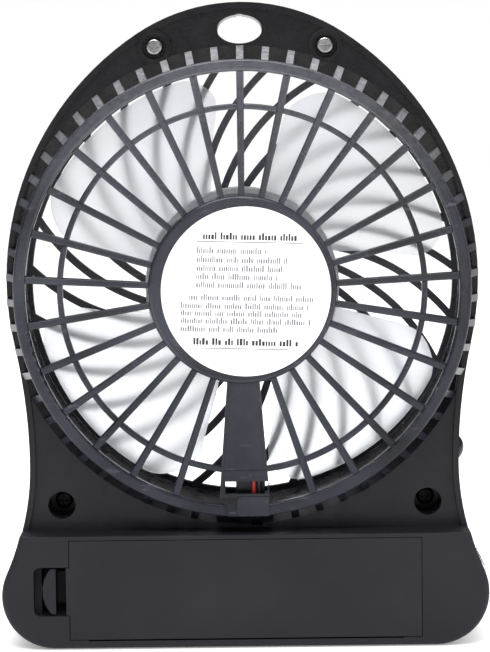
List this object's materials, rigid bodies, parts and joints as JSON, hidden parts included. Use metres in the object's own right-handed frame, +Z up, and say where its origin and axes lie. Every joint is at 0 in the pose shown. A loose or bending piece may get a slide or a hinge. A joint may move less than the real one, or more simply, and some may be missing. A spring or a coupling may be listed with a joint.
{
  "type": "portable desk fan",
  "caption": "Small rechargeable desk fan with a clear impeller behind ribbed guards, a battery box in its foot, a push button, a side lamp and a lanyard hole.",
  "frame": {"origin": "middle of the flat base that the fan stands on", "axes": "+Z up, +Y towards the rear with the battery door and the air intake, -Y the way the air blows"},
  "size_m": [0.11, 0.0366, 0.1436],
  "materials": {
    "shell": "fine satin moulded",
    "guard": "semi gloss, lightly rubbed",
    "impeller": "milky translucent",
    "paper": "coated white",
    "steel": "plain steel",
    "black_steel": "black oxide",
    "nickel": "nickel plated",
    "copper": "copper",
    "brass": "tinned brass",
    "magnet": "ferrite",
    "dark_plastic": "matte",
    "wire_red": "PVC insulation",
    "wire_black": "PVC insulation",
    "cell_wrap": "shrink wrap",
    "board": "solder mask",
    "led": "clear epoxy",
    "bezel": "bright chrome"
  },
  "bodies": {
    "housing": {"front_shell": "shell", "rear_shell": "shell", "front_guard_hub": "guard", "front_guard_rim": "guard", "front_guard_ribs": "guard", "rear_guard_ring": "guard", "rear_guard_spokes": "guard", "rear_guard_cross_bars": "guard", "rear_guard_side_bars": "guard", "motor_cup": "guard", "wire_channel": "guard", "hub_label": "paper", "motor_can": "nickel", "motor_end_cap": "dark_plastic", "motor_bushes": "brass", "motor_magnets": "magnet", "motor_terminals": "brass", "motor_brushes": "copper", "motor_wire_red": "wire_red", "motor_wire_black": "wire_black", "battery_cell": "cell_wrap", "battery_contact_spring": "nickel", "battery_contact_plate": "nickel", "battery_wires": "wire_black", "circuit_board": "board", "board_screw": "steel", "driver_chip": "dark_plastic", "boost_inductor": "dark_plastic", "capacitors": "brass", "tact_switch": "dark_plastic", "usb_socket": "steel", "usb_tongue": "dark_plastic", "lamp_led": "led", "lamp_bezel": "bezel", "lamp_leads": "steel", "top_screws": "steel", "bottom_screws": "black_steel"},
    "fan": {"impeller": "impeller", "motor_shaft": "steel", "motor_armature": "steel", "motor_windings": "copper", "motor_commutator": "copper"},
    "door": {"battery_door": "shell"},
    "latch": {"door_latch": "shell"},
    "button": {"power_button": "shell", "tact_plunger": "dark_plastic"}
  },
  "joints": [
    {"name": "fan_spin", "type": "hinge", "parent": "housing", "child": "fan", "pos_m": [0, 0, 0.0801], "axis": [0, 1, 0], "continuous": true},
    {"name": "button_press", "type": "slide", "parent": "housing", "child": "button", "axis": [1, 0, 0], "range_m": [0, 0.0005], "stiffness_N_per_m": 1500, "springref_m": -0.0006},
    {"name": "door_open", "type": "hinge", "parent": "housing", "child": "door", "pos_m": [-0.0394, 0.018, 0.0131], "axis": [0, 0, 1], "range_deg": [0, 75]},
    {"name": "latch_flex", "type": "slide", "parent": "door", "child": "latch", "axis": [-1, 0, 0], "range_m": [0, 0.0015], "stiffness_N_per_m": 800, "springref_m": -0.0005}
  ]
}
